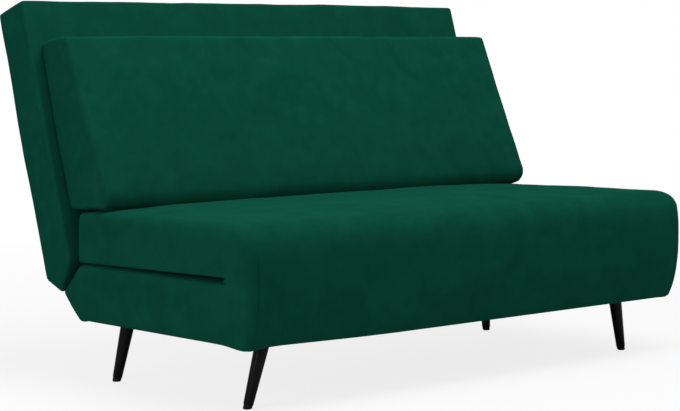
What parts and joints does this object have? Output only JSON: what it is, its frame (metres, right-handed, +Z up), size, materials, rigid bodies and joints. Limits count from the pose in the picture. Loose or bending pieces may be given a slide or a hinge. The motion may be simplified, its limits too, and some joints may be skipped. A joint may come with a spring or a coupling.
{
  "type": "click clack sofa bed",
  "caption": "Compact velvet click clack sofa bed: reclining back, seat that folds out forwards, wide loose back cushion and slim splayed black legs.",
  "frame": {"origin": "on the floor, under the middle of the whole sofa's box with the back upright and the seat folded in", "axes": "+X across the sofa to the right as seen from in front, +Y from the front towards the back, +Z up"},
  "size_m": [1.484, 0.9666, 0.9061],
  "materials": {
    "velvet": "bottle-green velvet with a soft, clouded nap and seams in its own colour",
    "lining": "thin black non-woven dust cover",
    "timber": "planed pine frame rails",
    "slats": "birch plywood",
    "foam": "cut upholstery foam",
    "leg_paint": "satin black paint",
    "glide": "black moulded glide",
    "black_steel": "black powder coat",
    "zinc_steel": "zinc-plated pressed steel"
  },
  "bodies": {
    "base": {"base_cover": "velvet", "dust_cover": "lining", "base_front_rail": "timber", "base_rear_rail": "timber", "base_left_rail": "timber", "base_right_rail": "timber", "base_slat_panel": "slats", "base_foam": "foam", "leg_front_left": "leg_paint", "leg_front_right": "leg_paint", "leg_rear_left": "leg_paint", "leg_rear_right": "leg_paint", "leg_glide_front_left": "glide", "leg_glide_front_right": "glide", "leg_glide_rear_left": "glide", "leg_glide_rear_right": "glide", "leg_plate_front_left": "black_steel", "leg_plate_front_right": "black_steel", "leg_plate_rear_left": "black_steel", "leg_plate_rear_right": "black_steel", "hinge_base_plate_left": "zinc_steel", "hinge_base_plate_right": "zinc_steel", "hinge_pin_left": "zinc_steel", "hinge_pin_right": "zinc_steel", "click_plunger_left": "zinc_steel", "click_plunger_right": "zinc_steel", "fold_spine": "velvet"},
    "seat": {"seat_cover": "velvet", "seat_under_panel": "velvet", "seat_foam_lower": "foam", "seat_foam_upper": "foam", "seat_front_rail": "timber", "seat_rear_rail": "timber", "seat_left_rail": "timber", "seat_right_rail": "timber", "seat_slat_panel": "slats", "seat_leg_bracket_left": "black_steel", "seat_leg_bracket_right": "black_steel"},
    "seat_leg_left": {"seat_leg_left": "black_steel", "seat_leg_tip_left": "glide"},
    "seat_leg_right": {"seat_leg_right": "black_steel", "seat_leg_tip_right": "glide"},
    "back": {"back_cover": "velvet", "back_rear_panel": "velvet", "back_top_rail": "timber", "back_bottom_rail": "timber", "back_left_stile": "timber", "back_right_stile": "timber", "back_slat_panel": "slats", "back_foam": "foam", "hinge_back_plate_left": "zinc_steel", "hinge_back_plate_right": "zinc_steel", "back_leg_bracket_left": "black_steel", "back_leg_bracket_right": "black_steel"},
    "back_leg": {"back_leg_left_arm": "black_steel", "back_leg_right_arm": "black_steel", "back_leg_bar": "black_steel", "back_leg_cap_left": "glide", "back_leg_cap_right": "glide"},
    "cushion": {"back_cushion": "velvet"}
  },
  "joints": [
    {"name": "back_recline", "type": "hinge", "parent": "base", "child": "back", "pos_m": [0, 0.23521, 0.228], "axis": [-1, 0, 0], "range_deg": [0, 73]},
    {"name": "seat_fold", "type": "hinge", "parent": "base", "child": "seat", "pos_m": [0, -0.48194, 0.296], "axis": [1, 0, 0], "range_deg": [0, 180], "deforming": ["fold_spine", "back_cushion"]},
    {"name": "seat_leg_left_drop", "type": "hinge", "parent": "seat", "child": "seat_leg_left", "pos_m": [-0.6, 0.17781, 0.355], "axis": [0, -1, 0], "range_deg": [0, 90]},
    {"name": "seat_leg_right_drop", "type": "hinge", "parent": "seat", "child": "seat_leg_right", "pos_m": [0.6, 0.17781, 0.355], "axis": [0, 1, 0], "range_deg": [0, 90]},
    {"name": "back_leg_swing", "type": "hinge", "parent": "back", "child": "back_leg", "pos_m": [0, 0.43932, 0.66165], "axis": [1, 0, 0], "range_deg": [0, 90]},
    {"name": "cushion_lift", "type": "slide", "parent": "back", "child": "cushion", "axis": [0, 0, 1], "range_m": [0, 0.51]}
  ],
  "couplings": [
    {"joint": "seat_leg_left_drop", "follows": "seat_fold", "ratio": 0.5},
    {"joint": "seat_leg_right_drop", "follows": "seat_fold", "ratio": 0.5}
  ]
}
